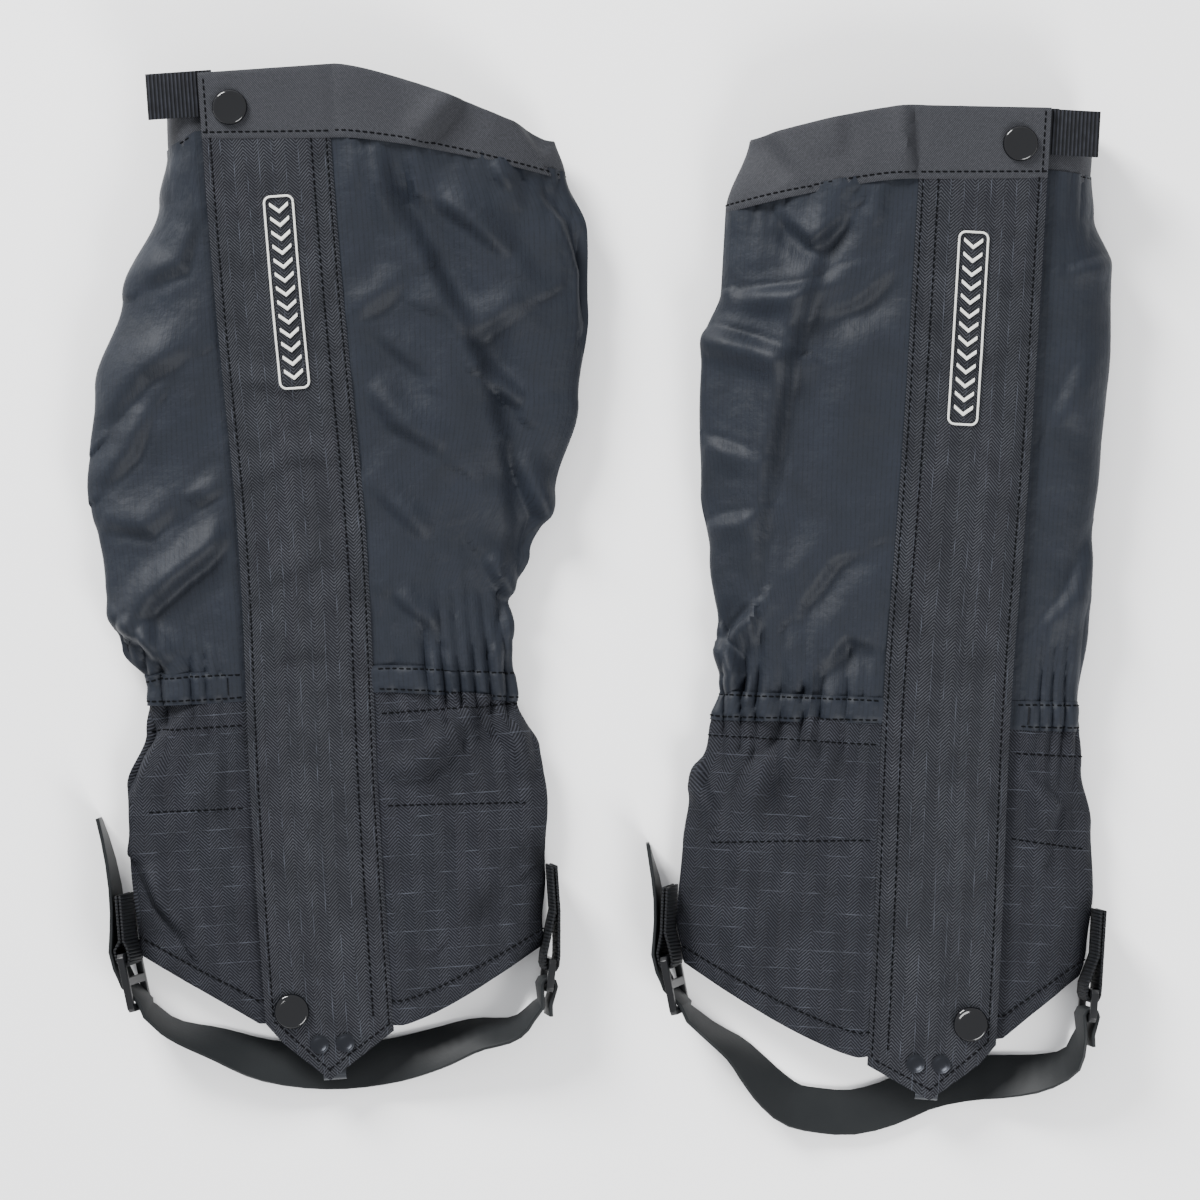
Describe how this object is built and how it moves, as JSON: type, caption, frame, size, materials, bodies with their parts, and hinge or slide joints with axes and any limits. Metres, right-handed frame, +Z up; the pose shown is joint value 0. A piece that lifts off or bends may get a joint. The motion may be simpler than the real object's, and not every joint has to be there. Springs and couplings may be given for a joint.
{
  "type": "gaiters",
  "caption": "Pair of front-closing hiking gaiters: fabric sleeves with a storm flap, press studs, lace hook and underfoot strap.",
  "frame": {"origin": "on the surface that the pair lies on, under the middle of the pair's box", "axes": "+X from the left gaiter to the right one, +Y towards the calf ends, +Z up from the surface to the flaps"},
  "size_m": [0.4484, 0.4702, 0.0402],
  "materials": {
    "navy_ripstop": "ripstop nylon, slightly sheeny",
    "black_canvas": "heavy nylon canvas with a ripstop thread",
    "grey_twill": "fine matte twill",
    "black_tape": "hook-and-loop tape",
    "black_webbing": "ribbed nylon webbing",
    "smooth_strap": "smooth coated strap",
    "moulded_plastic": "moulded acetal",
    "gloss_cap": "glossy lacquered cap",
    "rivet_metal": "satin dark metal",
    "dark_metal": "dark plated metal",
    "bright_metal": "bare steel",
    "white_thread": "satin embroidery thread"
  },
  "bodies": {
    "left_shell": {"left_upper_panel": "navy_ripstop", "left_ankle_casing": "navy_ripstop", "left_lower_panel": "black_canvas", "left_ankle_elastic": "black_webbing", "left_top_band": "grey_twill", "left_front_placket": "black_canvas", "left_hook_tape": "black_tape", "left_top_snap_stud": "dark_metal", "left_top_snap_post": "dark_metal", "left_bottom_snap_stud": "dark_metal", "left_bottom_snap_post": "dark_metal", "left_calf_webbing": "black_webbing"},
    "left_flap": {"left_storm_flap": "black_canvas", "left_flap_band_end": "grey_twill", "left_loop_tape": "black_tape", "left_badge": "white_thread", "left_lace_hook": "bright_metal", "left_top_snap_cap": "gloss_cap", "left_top_snap_socket": "dark_metal", "left_bottom_snap_cap": "gloss_cap", "left_bottom_snap_socket": "dark_metal", "left_inner_rivet": "rivet_metal", "left_outer_rivet": "rivet_metal"},
    "left_strap": {"left_buckle_tab": "black_webbing", "left_ladder_buckle": "moulded_plastic", "left_ring_tab": "black_webbing", "left_strap_ring": "moulded_plastic", "left_underfoot_strap": "smooth_strap"},
    "right_shell": {"right_upper_panel": "navy_ripstop", "right_ankle_casing": "navy_ripstop", "right_lower_panel": "black_canvas", "right_ankle_elastic": "black_webbing", "right_top_band": "grey_twill", "right_front_placket": "black_canvas", "right_hook_tape": "black_tape", "right_top_snap_stud": "dark_metal", "right_top_snap_post": "dark_metal", "right_bottom_snap_stud": "dark_metal", "right_bottom_snap_post": "dark_metal", "right_calf_webbing": "black_webbing"},
    "right_flap": {"right_storm_flap": "black_canvas", "right_flap_band_end": "grey_twill", "right_loop_tape": "black_tape", "right_badge": "white_thread", "right_lace_hook": "bright_metal", "right_top_snap_cap": "gloss_cap", "right_top_snap_socket": "dark_metal", "right_bottom_snap_cap": "gloss_cap", "right_bottom_snap_socket": "dark_metal", "right_inner_rivet": "rivet_metal", "right_outer_rivet": "rivet_metal"},
    "right_strap": {"right_buckle_tab": "black_webbing", "right_ladder_buckle": "moulded_plastic", "right_ring_tab": "black_webbing", "right_strap_ring": "moulded_plastic", "right_underfoot_strap": "smooth_strap"}
  },
  "joints": [
    {"name": "left_flap_hinge", "type": "hinge", "parent": "left_shell", "child": "left_flap", "pos_m": [-0.08903, -0.20803, 0.016], "axis": [-0.069, 0.9964, 0.0499], "range_deg": [0, 160]},
    {"name": "left_strap_swing", "type": "hinge", "parent": "left_shell", "child": "left_strap", "pos_m": [-0.12504, -0.13234, 0.01386], "axis": [0.9976, 0.0691, 0], "range_deg": [0, 90]},
    {"name": "right_flap_hinge", "type": "hinge", "parent": "right_shell", "child": "right_flap", "pos_m": [0.11619, -0.2173, 0.016], "axis": [-0.0559, -0.9972, -0.0499], "range_deg": [0, 160]},
    {"name": "right_strap_swing", "type": "hinge", "parent": "right_shell", "child": "right_strap", "pos_m": [0.15001, -0.14108, 0.01386], "axis": [0.9984, -0.056, 0], "range_deg": [0, 90]},
    {"name": "pair_apart", "type": "slide", "parent": "left_shell", "child": "right_shell", "axis": [1, 0, 0], "range_m": [0, 0.15]}
  ]
}
